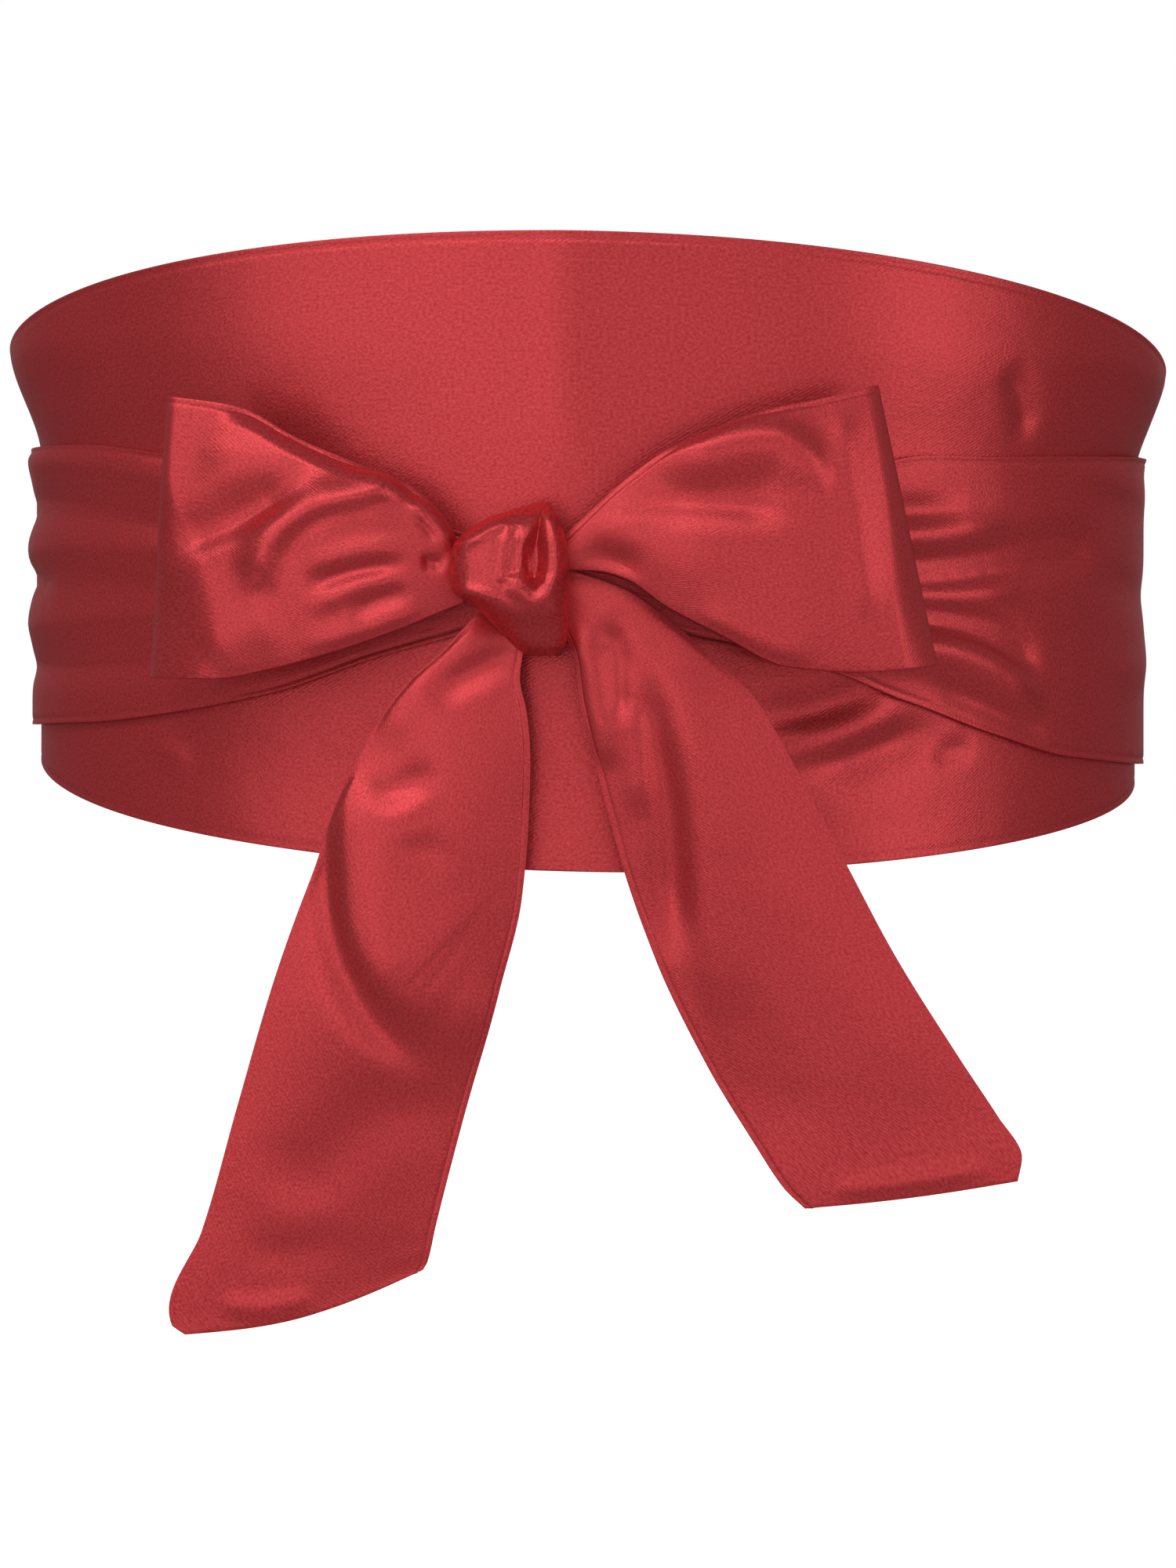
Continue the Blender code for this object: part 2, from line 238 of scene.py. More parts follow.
def finished(name, grid, weave_m, wall, material):
    """Turn a grid into a named cloth object with its weave's UV map, thickness and rounded edge."""
    mesh = bpy.data.meshes.new(name)
    grid.to_mesh(mesh)
    grid.free()
    corners = np.empty(len(mesh.loops), dtype=int)
    mesh.loops.foreach_get("vertex_index", corners)
    mesh.uv_layers.new(name=WEAVE_UV).data.foreach_set("uv", weave_m[corners].ravel())
    mesh.shade_smooth()
    mesh.materials.append(material)
    piece = bpy.data.objects.new(name, mesh)
    bpy.context.scene.collection.objects.link(piece)
    if wall > 0:
        solidify = piece.modifiers.new("two layers", "SOLIDIFY")
        solidify.thickness = wall
        solidify.offset = 0.0
        bevel = piece.modifiers.new("rolled edge", "BEVEL")
        bevel.width = wall * EDGE_ROUNDING
        bevel.segments = EDGE_STEPS
        bevel.limit_method = "ANGLE"
        bevel.angle_limit = SHARP_EDGE
    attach(piece, "root")
    print(name, "has", len(mesh.vertices), "points before its thickness")
    return piece

# %% [markdown]
# ## The satin
#
# Satin floats its threads over several others, so most of the surface is smooth thread lying one
# way. That gives a broad, soft gloss in the colour of the thread rather than a white one, over a
# deep base colour. In a Principled shader a part-metallic red gives that coloured gloss. A fine
# uneven bump scatters the light into small sparks, as the threads do. A faint diagonal twill runs
# under it, and a slow, cloudy bump keeps wide stretches from looking like a machined mirror.

# %% The satin material
SATIN_RED = (0.64, 0.064, 0.074, 1.0)
SATIN_DEEP = (0.46, 0.030, 0.032, 1.0)
GLOSS_TINT = (1.0, 0.50, 0.52, 1.0)
SHEEN_METALLIC = 0.57
SATIN_ROUGHNESS = 0.32
THREAD_SCALE = 1450.0         # bright specks per metre, about 0.7 mm apart
TWILL_SCALE = 450.0           # diagonal ribs, about 0.7 mm apart in the wave texture
TWILL_ANGLE = math.radians(52)
CLOUD_SCALE = 45.0            # slow unevenness, about 2 cm wide
Bump = namedtuple("Bump", "strength depth_mm")
THREAD_BUMP = Bump(0.6, 0.12)
TWILL_BUMP = Bump(0.25, 0.05)
CLOUD_BUMP = Bump(0.35, 1.2)


def bumped(nodes, links, bump, height, normal=None):
    """The normal output of a bump made from a height output, on top of another normal."""
    node = nodes.new("ShaderNodeBump")
    node.inputs["Strength"].default_value = bump.strength
    node.inputs["Distance"].default_value = bump.depth_mm * MM
    links.new(height, node.inputs["Height"])
    if normal is not None:
        links.new(normal, node.inputs["Normal"])
    return node.outputs["Normal"]


def satin_material(name):
    """Red satin with a woven sparkle, laid out on the piece's own UV map."""
    material = bpy.data.materials.new(name)
    material.use_nodes = True
    nodes, links = material.node_tree.nodes, material.node_tree.links
    shader = nodes["Principled BSDF"]
    shader.inputs["Metallic"].default_value = SHEEN_METALLIC
    shader.inputs["Roughness"].default_value = SATIN_ROUGHNESS
    shader.inputs["Specular IOR Level"].default_value = 0.5
    shader.inputs["Specular Tint"].default_value = GLOSS_TINT

    uv = nodes.new("ShaderNodeUVMap")
    uv.uv_map = WEAVE_UV
    thread = nodes.new("ShaderNodeTexNoise")
    thread.inputs["Scale"].default_value = THREAD_SCALE
    thread.inputs["Detail"].default_value = 2.0
    thread.inputs["Roughness"].default_value = 0.6
    links.new(uv.outputs["UV"], thread.inputs["Vector"])

    turn = nodes.new("ShaderNodeMapping")
    turn.inputs["Rotation"].default_value = (0.0, 0.0, TWILL_ANGLE)
    links.new(uv.outputs["UV"], turn.inputs["Vector"])
    twill = nodes.new("ShaderNodeTexWave")
    twill.inputs["Scale"].default_value = TWILL_SCALE
    twill.inputs["Distortion"].default_value = 1.5
    twill.inputs["Detail"].default_value = 1.0
    links.new(turn.outputs["Vector"], twill.inputs["Vector"])

    cloud = nodes.new("ShaderNodeTexNoise")
    cloud.inputs["Scale"].default_value = CLOUD_SCALE
    cloud.inputs["Detail"].default_value = 3.0
    links.new(uv.outputs["UV"], cloud.inputs["Vector"])

    colour = nodes.new("ShaderNodeMix")
    colour.data_type = "RGBA"
    colour.inputs["A"].default_value = SATIN_DEEP
    colour.inputs["B"].default_value = SATIN_RED
    shade = nodes.new("ShaderNodeMapRange")
    shade.inputs["From Min"].default_value = 0.3
    shade.inputs["From Max"].default_value = 0.7
    links.new(thread.outputs["Fac"], shade.inputs["Value"])
    links.new(shade.outputs["Result"], colour.inputs["Factor"])
    links.new(colour.outputs["Result"], shader.inputs["Base Color"])

    normal = bumped(nodes, links, THREAD_BUMP, thread.outputs["Fac"])
    normal = bumped(nodes, links, TWILL_BUMP, twill.outputs["Fac"], normal)
    normal = bumped(nodes, links, CLOUD_BUMP, cloud.outputs["Fac"], normal)
    links.new(normal, shader.inputs["Normal"])
    return material


satin = satin_material("red_satin")
print("made", satin.name)

# %% [markdown]
# ## The waist
#
# The panel and the ties all lie on one oval tube, so one function gives every point on it: an
# angle round the waist from the middle of the front, a height, and how far out from the panel's
# middle layer. The upper edge flares, because the ties pull in only what is under them.

# %% Points round the waist
WAIST_HALF_WIDTH = 136.0
WAIST_HALF_DEPTH = 96.3
FLARE_WIDTH, FLARE_DEPTH = 7.7, 3.8
FLARE_SIDES = (24.0, 52.0)    # heights between which the upper edge flares at the sides
FLARE_FRONT = (-70.0, 76.0)   # and at the front, where it leans out evenly
SIDE_DROP = 0.02              # the sash hangs this much lower for each unit towards +X
MM_PER_DEGREE = 2.05          # length along the cloth for one degree round the waist


def waist_points(angle_deg, height, out):
    """Points on the oval tube, from arrays in degrees and millimetres, in metres."""
    angle = np.radians(angle_deg)
    sideways = FLARE_WIDTH * smooth_step(*FLARE_SIDES, height)
    forward = FLARE_DEPTH * smooth_step(*FLARE_FRONT, height)
    x = (WAIST_HALF_WIDTH + sideways + out) * np.sin(angle)
    y = -(WAIST_HALF_DEPTH + forward + out) * np.cos(angle)
    return np.stack([x, y, height - SIDE_DROP * x], axis=1) * MM


def away_from_waist(places):
    """Directions from the middle of the waist, level."""
    flat = places * np.array([1.0, 1.0, 0.0])
    return flat / np.linalg.norm(flat, axis=1)[:, None]


def to_the_front(places):
    """The direction that faces someone who looks at the bow."""
    return np.tile([0.0, -1.0, 0.0], (len(places), 1))

# %% [markdown]
# ## The panel
#
# The panel is two layers of satin, sewn along the edge and turned right side out. Its height
# falls from the front to the ends. A pressed crease runs down the middle of the front, a thin
# seam line follows the upper edge, and the pull of the ties wrinkles the lower right.

# %% The panel's folds and seam
PANEL_WALL = 1.8 * MM
PANEL_END = 131.0
PANEL_MIDDLE_HALF, PANEL_END_HALF, PANEL_TAPER = 75.0, 36.0, 1.4
PANEL_LENGTH_M, PANEL_HEIGHT_M = 0.52, 0.15
SOFT_WAVE_HEIGHT = 0.25
TOP_SEAM_START = (-95, -60)   # degrees round the waist over which the upper seam line appears

PANEL_FOLDS = (
    Fold(((-4.5, 84), (-4.6, 40), (-5.2, 14)), 0.60, 7.0, 6.0, 0.30),
    Fold(((30, -39.5), (46, -36.5), (64, -30.5)), -1.5, 5.0, 4.2, 0.36),
    Fold(((32, -48.0), (52, -41.5), (72, -32.0)), 1.2, 4.2, 4.2, 0.36),
    Fold(((40, -52.5), (60, -45.5), (82, -37.0)), -1.4, 4.4, 5.4, 0.36),
    Fold(((74, -47.0), (88, -43.0)), -0.8, 3.0, 3.0, 0.40),
    Fold(((90, 48), (98, 38), (102, 29)), -1.2, 4.0, 3.0, 0.30),
    Fold(((-104, -47), (-96, -49), (-88, -52)), 0.6, 3.0, 3.0, 0.40),
    Fold(((-128, 36), (-116, 43), (-100, 47)), 0.5, 5.0, 4.0, 0.40),
    Fold(((128, -34), (140, -36), (158, -34)), 0.5, 5.0, 4.0, 0.40),
    Fold(((170, 44), (190, 40), (215, 34)), -0.5, 5.0, 4.0, 0.40),
)


def panel_half_height(angle_deg):
    """Half of the panel's height, which falls from the front to the ends."""
    share = np.cos(np.radians(90.0 * angle_deg / PANEL_END))
    return PANEL_END_HALF + (PANEL_MIDDLE_HALF - PANEL_END_HALF) * np.maximum(share, 0) ** PANEL_TAPER


def panel_form(along, across):
    """The panel on the waist."""
    angle = mix(-PANEL_END, PANEL_END, along)
    height = panel_half_height(angle) * (2 * across - 1)
    return waist_points(angle, height, 0.0)


def seam_groove(distance, place, depth, width=0.45):
    """The narrow dip of a seam line that lies at a distance from an edge."""
    return -depth * np.exp(-((distance - place) / width) ** 2)


def calm_edge(distance, reach, least):
    """The share of a fold's height that is left near an edge, where the seam holds the cloth."""
    return smooth_step(0, reach, distance) * (1 - least) + least

# %% Make the panel
grid, along, across = laid_grid(panel_form, columns=380, rows=96)
angle = mix(-PANEL_END, PANEL_END, along)
half = panel_half_height(angle)
height = half * (2 * across - 1)
from_top = half * 2 * (1 - across)
bulge = relief(PANEL_FOLDS, angle * MM_PER_DEGREE, height)
soft_waves = np.sin(angle * 0.11 + height * 0.05) * np.sin(height * 0.045 + 1.0)
bulge += SOFT_WAVE_HEIGHT * soft_waves
bulge += seam_groove(from_top, place=1.6, depth=0.28) * smooth_step(*TOP_SEAM_START, angle)
bulge += seam_groove(2 * half - from_top, place=1.3, depth=0.18)
push_out(grid, bulge * MM, away_from_waist)
panel_weave = np.stack([along * PANEL_LENGTH_M, across * PANEL_HEIGHT_M], axis=1)
panel = finished("sash_panel", grid, panel_weave, PANEL_WALL, satin)
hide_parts("panel")

# %% [markdown]
# ## The ties round the waist
#
# Each tie is a flat tube of satin. From its root it is gathered into a narrow band, crosses the
# other tie behind, opens over the far end of the panel, and is gathered again towards the knot.
# One long grid carries it the whole way, so its folds run on without a break. Where the ties
# change places, one is above and the other below, so neither cuts the other.

# %% The route of each tie
TIE_WALL = 1.3 * MM
TieRow = namedtuple("TieRow", "turn middle half lift")
LEFT_TIE_ROWS = (
    TieRow(0.3, 0, 36, 0),
    TieRow(12, -8, 26, 0),
    TieRow(24, -18, 14, 0),
    TieRow(33, -17, 12.5, 0),
    TieRow(49, 0, 14, 0),
    TieRow(65, 17, 12.5, 0),
    TieRow(74, 17, 14, 4.2),
    TieRow(85, 9, 22, 3.2),
    TieRow(98, -3, 30, 2.4),
    TieRow(119, -7, 33, 2.3),
    TieRow(144, -8, 34.3, 2.3),
    TieRow(169, -8.2, 33.5, 2.3),
    TieRow(182, -8.5, 31, 2.3),
    TieRow(196, -8.5, 26, 2.6),
    TieRow(209, -8, 17, 3.0),
    TieRow(223, -8, 8, 3.6),
)
RIGHT_TIE_ROWS = (
    TieRow(0.3, 0, 36, 0),
    TieRow(12, -8, 26, 0),
    TieRow(24, -18, 14, 0),
    TieRow(33, -17, 12.5, 4.5),
    TieRow(49, 0, 14, 4.5),
    TieRow(65, 17, 12.5, 4.3),
    TieRow(74, 17, 14, 4.0),
    TieRow(85, 9, 22, 3.2),
    TieRow(98, -3, 30, 2.4),
    TieRow(119, -6, 34.5, 2.3),
    TieRow(144, -8.6, 38, 2.3),
    TieRow(172, -9.2, 36.2, 2.3),
    TieRow(185, -7.4, 32.9, 2.3),
    TieRow(196, -4.5, 28.8, 2.4),
    TieRow(204, -4, 23, 2.6),
    TieRow(217, -6, 15, 3.0),
    TieRow(234, -8, 7, 3.6),
)

# %% The folds of the ties
# Coordinates are the angle round the waist times MM_PER_DEGREE, and the height. From root to
# knot, the left tie's angle runs from -229 to -6, and the right tie's from 229 to -5.
LEFT_TIE_FOLDS = (
    Fold(((-268, 16), (-215, 22), (-160, 23), (-110, 19), (-60, 6)), 1.1, 4.5, 4.0, 0.18),
    Fold(((-268, 9), (-215, 10), (-165, 11), (-120, 9), (-60, 1)), -1.5, 4.2, 3.6, 0.18),
    Fold(((-250, 2), (-200, 0), (-165, 2), (-110, 0), (-60, -4)), 1.1, 4.0, 4.5, 0.18),
    Fold(((-220, -6), (-172, -6), (-140, -9)), -1.8, 2.8, 3.4, 0.30),
    Fold(((-240, -17), (-170, -17), (-110, -17), (-60, -12)), 1.1, 5.0, 4.0, 0.20),
    Fold(((-215, -27), (-160, -28), (-100, -27), (-60, -17)), -1.1, 3.6, 3.6, 0.20),
)
RIGHT_TIE_FOLDS = (
    Fold(((45, 9), (66, 11), (84, 13)), -1.2, 4.0, 3.4, 0.35),
    Fold(((48, 4), (74, 6.5), (98, 10)), 1.2, 3.8, 3.6, 0.30),
    Fold(((46, -4), (76, -2.6), (104, 3), (132, 6)), -2.4, 4.6, 4.0, 0.24),
    Fold(((46, -9), (78, -8.0), (104, -4)), 1.1, 3.8, 3.8, 0.32),
    Fold(((46, -13), (74, -13.5), (92, -17.5), (108, -26)), -2.4, 4.2, 3.4, 0.24),
    Fold(((50, -19), (76, -20.5), (92, -25.5), (108, -34)), 2.6, 3.8, 6.0, 0.22),
    Fold(((70, -28), (92, -35.0), (112, -42)), -0.9, 3.0, 3.0, 0.30),
    Fold(((110, 24), (150, 22), (190, 18)), 0.6, 5.0, 4.0, 0.35),
    Fold(((120, -2), (165, -5), (220, -2)), -0.7, 5.0, 5.0, 0.35),
    Fold(((125, -24), (170, -22), (230, -14)), 0.7, 6.0, 5.0, 0.35),
)
GATHER_FOLDS = 6              # soft pleats where a tie is gathered behind
PLEAT_HEIGHT, SMALL_PLEAT_HEIGHT = 0.85, 0.4
GATHER_START = (4, 20)        # degrees from the root over which the pleats begin
GATHER_END = (80, 112)        # and over which they end
DEEPEST_FOLD = -1.1           # a deeper one would cut into what lies under the tie
DEEPEST_UNLIFTED = -0.1       # where a tie lies on the waist itself, its folds only rise
UNLIFTED = 1.0                # a lift under this counts as none
TIE_WEAVE_WIDTH_M = 0.072
ROOT_ANGLE = 229.0            # a tie's root, counted back from the front past the far side


def gathered_pleats(turn, across):
    """Uneven pleats along the tie where it is narrow, none where it lies flat."""
    narrow = smooth_step(*GATHER_START, turn) * (1 - smooth_step(*GATHER_END, turn))
    phase = across * 2 * math.pi * GATHER_FOLDS
    wander = 0.9 * np.sin(turn * 0.06) + 0.6 * np.sin(turn * 0.17 + 1.3)
    pleats = PLEAT_HEIGHT * np.sin(phase + wander)
    pleats += SMALL_PLEAT_HEIGHT * np.sin(phase * 0.57 - wander + 0.8)
    return narrow * pleats


def tie_piece(name, side, rows, folds, length_m):
    """One tie from its root behind to the knot; side is -1 for the left tie, 1 for the right."""
    middle, half, lift = (column_curve(rows, column) for column in ("middle", "half", "lift"))

    def turn_of(along):
        return mix(rows[0].turn, rows[-1].turn, along)

    def form(along, across):
        turn = turn_of(along)
        angle = side * (ROOT_ANGLE - turn)
        return waist_points(angle, middle(turn) + half(turn) * (2 * across - 1), lift(turn))

    grid, along, across = laid_grid(form, columns=400, rows=64)
    turn = turn_of(along)
    angle = side * (ROOT_ANGLE - turn)
    height = middle(turn) + half(turn) * (2 * across - 1)
    edge = half(turn) * 2 * np.minimum(across, 1 - across)
    bulge = relief(folds, angle * MM_PER_DEGREE, height) + gathered_pleats(turn, across)
    bulge *= calm_edge(edge, reach=3.0, least=0.2)
    bulge += seam_groove(edge, place=1.3, depth=0.2)
    deepest = np.where(lift(turn) < UNLIFTED, DEEPEST_UNLIFTED, DEEPEST_FOLD)
    bulge = np.maximum(bulge, deepest)
    push_out(grid, bulge * MM, away_from_waist)
    weave = np.stack([along * length_m, across * TIE_WEAVE_WIDTH_M], axis=1)
    return finished(name, grid, weave, TIE_WALL, satin)

# %% Make both ties
tie_left = tie_piece("tie_over_left_side", -1, LEFT_TIE_ROWS, LEFT_TIE_FOLDS, 0.49)
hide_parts("back_under", "wrap_left")
tie_right = tie_piece("tie_over_right_side", 1, RIGHT_TIE_ROWS, RIGHT_TIE_FOLDS, 0.50)
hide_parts("back_over", "wrap_right")

# %% [markdown]
# ## The bow's loops
#
# A loop is a tie folded back on itself: out along the front, round the fold at its end, and back
# to the knot. The rows give both long edges, the depth and the space inside. The folds that fan
# out from the knot are what make it read as a bow, so they have a table of their own for each
# side.

# %% The loops' rows
LoopRow = namedtuple("LoopRow", "share top_x top_z low_x low_z depth gap")
LEFT_LOOP_ROWS = (
    LoopRow(0.00, -29.5, 0.0, -29.0, -12.0, -111, 2.0),
    LoopRow(0.06, -34.2, 7.8, -34.8, -14.4, -111, 3.0),
    LoopRow(0.14, -41.5, 14.6, -42.5, -17.6, -110.5, 4.4),
    LoopRow(0.36, -54.6, 20.2, -58.0, -23.0, -109, 5.6),
    LoopRow(0.55, -68.3, 26.2, -73.0, -27.2, -106.5, 5.8),
    LoopRow(0.76, -81.0, 33.2, -87.4, -29.7, -103, 5.2),
    LoopRow(1.00, -98.0, 36.2, -102.8, -29.4, -98, 3.6),
)
RIGHT_LOOP_ROWS = (
    LoopRow(0.00, -8.0, 0.5, -8.0, -4.0, -110, 2.0),
    LoopRow(0.06, -1.2, 6.8, 1.2, -4.6, -110, 2.8),
    LoopRow(0.16, 9.1, 16.2, 9.4, -6.8, -110, 4.0),
    LoopRow(0.28, 18.2, 22.6, 18.8, -13.2, -110, 5.4),
    LoopRow(0.42, 28.5, 27.3, 30.5, -19.2, -109.5, 6.6),
    LoopRow(0.60, 42.0, 32.4, 46.5, -26.9, -108.0, 6.8),
    LoopRow(0.80, 55.0, 35.2, 63.5, -28.2, -105.5, 5.6),
    LoopRow(1.00, 67.2, 38.6, 81.2, -26.8, -102.5, 3.6),
)

# %% The loops' folds
# Coordinates are x and z in millimetres, as seen from the front.
LEFT_LOOP_FOLDS = (
    Fold(((-102, -1.0), (-91, 3.4), (-80, 8.0), (-71, 12.4), (-63, 15.4)), -2.7, 6.6, 4.2, 0.30),
    Fold(((-40, 15.2), (-53.6, 12.2), (-62.5, 10.0), (-70.3, 5.4), (-74.4, -0.6), (-74.4, -6.0),
          (-70.5, -9.6)), 2.9, 2.7, 5.0, 0.20),
    Fold(((-40, 8.4), (-54, 7.6), (-63.0, 3.4), (-68.0, -2.6)), 1.0, 3.4, 3.2, 0.30),
    Fold(((-39, 0.4), (-51.3, -0.2), (-60.3, -2.4), (-68, -6)), 0.9, 2.6, 3.4, 0.30),
    Fold(((-40, -3.8), (-51.3, -4.8), (-60.3, -7.2), (-67, -10)), -1.5, 2.8, 2.6, 0.32),
    Fold(((-40, -6.0), (-53.0, -8.2), (-61.0, -12), (-63.4, -16.5)), 1.0, 2.6, 3.0, 0.30),
    Fold(((-40, -9.6), (-49.0, -12.0), (-56, -16.6)), -1.1, 3.0, 3.0, 0.32),
    Fold(((-36, -12.5), (-46, -16.0), (-56, -19.6), (-68, -23.6)), 0.8, 3.0, 3.0, 0.30),
    Fold(((-42, 11.4), (-37.6, 8.6), (-34.2, 3.6), (-31.0, -0.6)), 1.0, 1.7, 2.0, 0.25),
    Fold(((-40.5, 7.8), (-37.6, 5.2), (-34.6, 1.4)), -0.8, 1.2, 1.2, 0.34),
    Fold(((-39.6, -3.2), (-36.0, -3.0), (-32.6, -4.0)), -1.4, 1.8, 2.0, 0.36),
    Fold(((-92, 24), (-78, 20), (-64, 18)), 1.0, 6.0, 7.0, 0.35),
    Fold(((-90, -25), (-80, -19), (-70, -15)), 1.0, 6.0, 7.0, 0.30),
)
RIGHT_LOOP_FOLDS = (
    Fold(((12, 17.0), (24, 21.6), (36, 25.2), (46, 24.6), (53, 17.0), (55, 8.0)), 2.2, 4.4, 6.6, 0.30),
    Fold(((4, 10.0), (18, 11.6), (34, 11.2), (46, 12.0), (54, 15.0)), -2.5, 7.4, 7.4, 0.36),
    Fold(((-2, 1.0), (6, 4.6), (16, 6.6), (30, 6.0), (46, 4.0)), 0.8, 3.4, 9.0, 0.30),
    Fold(((-4, 0.2), (4, -1.8), (15, -6.0)), -1.7, 4.0, 4.0, 0.45),
    Fold(((58, 34), (61.5, 12), (65, -18)), 0.8, 4.0, 3.0, 0.20),
    Fold(((24, -13), (38, -20), (54, -26)), 0.8, 4.0, 3.0, 0.30),
)

# %% Make the loops
# fold_top and fold_low say where along the loop its folded end starts, at its two long edges. A
# crispness of 1 is a round fold, and more makes a flat side behind a crisp bend. roll_depth and
# roll_width are the edge that rolls back along the top.
LoopStyle = namedtuple("LoopStyle",
                       "fold_top fold_low tip_back crispness edge_gap roll_depth roll_width")
LEFT_STYLE = LoopStyle(0.970, 0.74, 9.0, 1.0, 0.55, 3.2, 5.0)
RIGHT_STYLE = LoopStyle(0.950, 0.915, 2.8, 1.4, 0.55, 0.4, 2.0)
LOOP_STRAIGHT = 0.80          # share of each layer's points that lie before the fold
LOW_CORNER = (0.15, 0.75)     # the fold changes from its low to its top form between these
ROLL_END = (0.70, 0.85)       # shares of the way out between which the rolled edge opens flat
FRONT_LAYER_END = (0.42, 0.50)
BACK_LAYER_START = (0.55, 0.65)
BACK_FOLD_SHARE = 0.45        # the hidden layer follows the folds this much
LOOP_WIDTH_M = 0.066


def loop_piece(name, rows, folds, style, length_m):
    """A bow loop, from the knot out and back."""
    columns = ("top_x", "top_z", "low_x", "low_z", "depth", "gap")
    top_x, top_z, low_x, low_z, depth, gap = (column_curve(rows, column) for column in columns)

    def share_and_turn(along, across):
        travel = 1 - np.abs(2 * along - 1)
        turn = np.maximum(travel - LOOP_STRAIGHT, 0) / (1 - LOOP_STRAIGHT) * math.pi / 2
        fold_at = mix(style.fold_low, style.fold_top, smooth_step(*LOW_CORNER, across))
        reach = np.sin(turn) ** style.crispness
        share = np.minimum(travel / LOOP_STRAIGHT, 1) * fold_at + (1 - fold_at) * reach
        return share, turn

    def form(along, across):
        share, turn = share_and_turn(along, across)
        side = np.where(along < 0.5, -1.0, 1.0)
        closing = np.maximum(np.cos(turn), 0) ** style.crispness
        space = gap(share) * mix(style.edge_gap, 1.0, np.sin(math.pi * across) ** 0.8) * closing
        tip = style.tip_back * (1 - closing) * (1 - smooth_step(*LOW_CORNER, across))
        x = mix(low_x(share), top_x(share), across)
        z = mix(low_z(share), top_z(share), across)
        from_top = (top_z(share) - low_z(share)) * (1 - across)
        rolled = 1 - smooth_step(0, style.roll_width, from_top)
        rolled *= 1 - smooth_step(*ROLL_END, share)
        space -= np.where(side < 0, style.roll_depth * rolled, 0)
        return np.stack([x, depth(share) + side * space + tip, z], axis=1) * MM

    grid, along, across = laid_grid(form, columns=420, rows=84)
    places = np.array([vertex.co for vertex in grid.verts]) / MM
    share, turn = share_and_turn(along, across)
    edge = (top_z(share) - low_z(share)) * np.minimum(across, 1 - across)
    front = 1 - smooth_step(*FRONT_LAYER_END, along)
    back = smooth_step(*BACK_LAYER_START, along)
    bulge = relief(folds, places[:, 0], places[:, 2]) * (front - BACK_FOLD_SHARE * back)
    bulge *= calm_edge(edge, reach=2.5, least=0.25)
    bulge += seam_groove(edge, place=1.2, depth=0.22, width=0.35) * front * (across > 0.5)
    forward = np.array([vertex.normal for vertex in grid.verts])[:, 1]
    facing = np.where(along < 0.5, -1.0, 1.0)
    bulge = bulge * facing * np.sign(forward)
    push_out(grid, bulge * MM, lambda points: np.array([vertex.normal for vertex in grid.verts]))
    weave = np.stack([along * length_m, across * LOOP_WIDTH_M], axis=1)
    return finished(name, grid, weave, TIE_WALL, satin)


loop_left = loop_piece("bow_loop_on_left", LEFT_LOOP_ROWS, LEFT_LOOP_FOLDS, LEFT_STYLE, 0.150)
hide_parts("bow_loop_left")
loop_right = loop_piece("bow_loop_on_right", RIGHT_LOOP_ROWS, RIGHT_LOOP_FOLDS, RIGHT_STYLE, 0.170)
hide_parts("bow_loop_right")

# %% [markdown]
# ## The knot
#
# The knot is one tie drawn tightly round the other. Its layers are hidden in each other, so it is
# one rounded body, made from a sphere that is squared off level by level. Pleats, a deep hollow
# and a petal-shaped flap are then pressed into its front.

# %% The knot's rows and folds
KnotRow = namedtuple("KnotRow", "height left right front back")
KNOT_ROWS = (
    KnotRow(-24.6, -14.5, -6.5, -112.5, -104.0),
    KnotRow(-22.5, -17.0, -5.2, -116.0, -102.5),
    KnotRow(-19.0, -20.5, -4.7, -119.5, -101.0),
    KnotRow(-14.0, -25.5, -4.4, -123.2, -100.0),
    KnotRow(-9.5, -31.4, -4.3, -125.2, -100.0),
    KnotRow(-4.0, -32.1, -4.4, -125.4, -100.0),
    KnotRow(1.0, -31.2, -4.8, -125.2, -100.0),
    KnotRow(4.5, -28.0, -5.6, -124.0, -100.5),
    KnotRow(7.0, -23.6, -6.6, -122.0, -102.0),
    KnotRow(9.0, -18.0, -7.8, -118.4, -104.0),
    KnotRow(11.0, -11.4, -9.0, -113.2, -107.5),
)
KNOT_FOLDS = (
    Fold(((-31, -9.2), (-22.5, -12.0), (-16, -14.6), (-10, -14.4), (-5.7, -12.4)), 1.3, 2.0, 2.6, 0.12),
    Fold(((-31, -0.8), (-25, 3.0), (-18, 6.9)), 1.1, 2.4, 1.6, 0.15),
    Fold(((-17.6, 6.8), (-18.7, 0), (-20.1, -8.8)), 0.7, 1.2, 0.8, 0.12),
    Fold(((-16.8, 5.8), (-17.6, -1.5), (-18.9, -9.8)), -1.5, 0.8, 0.7, 0.15),
    Fold(((-15.8, 4.2), (-16.5, -3), (-17.5, -9.8)), -0.7, 0.5, 0.5, 0.25),
    Patch(((-10.4, 10.2), (-13.6, 4.8), (-15.9, -1.1), (-15.8, -6.6), (-12.8, -10.6), (-9.7, -8.2),
           (-8.6, -3.0), (-9.2, 4.0)), -4.2, 3.3),
    Fold(((-17.2, -5.0), (-16.4, -9.5), (-13.0, -12.4), (-9.4, -10.8), (-7.8, -6)), 1.4, 1.6, 1.8, 0.15),
    Fold(((-9.8, 9.6), (-7.8, 4.0), (-7.2, -3), (-7.8, -9)), 1.5, 2.4, 1.2, 0.15),
    Fold(((-13.6, 3.0), (-14.2, -2.0), (-13.6, -7.4)), -0.8, 0.5, 0.6, 0.25),
)
KNOT_SQUARENESS = 3.2
FOLDED_FRONT = (0.1, -0.5)    # from none of a fold's height behind to all of it in front


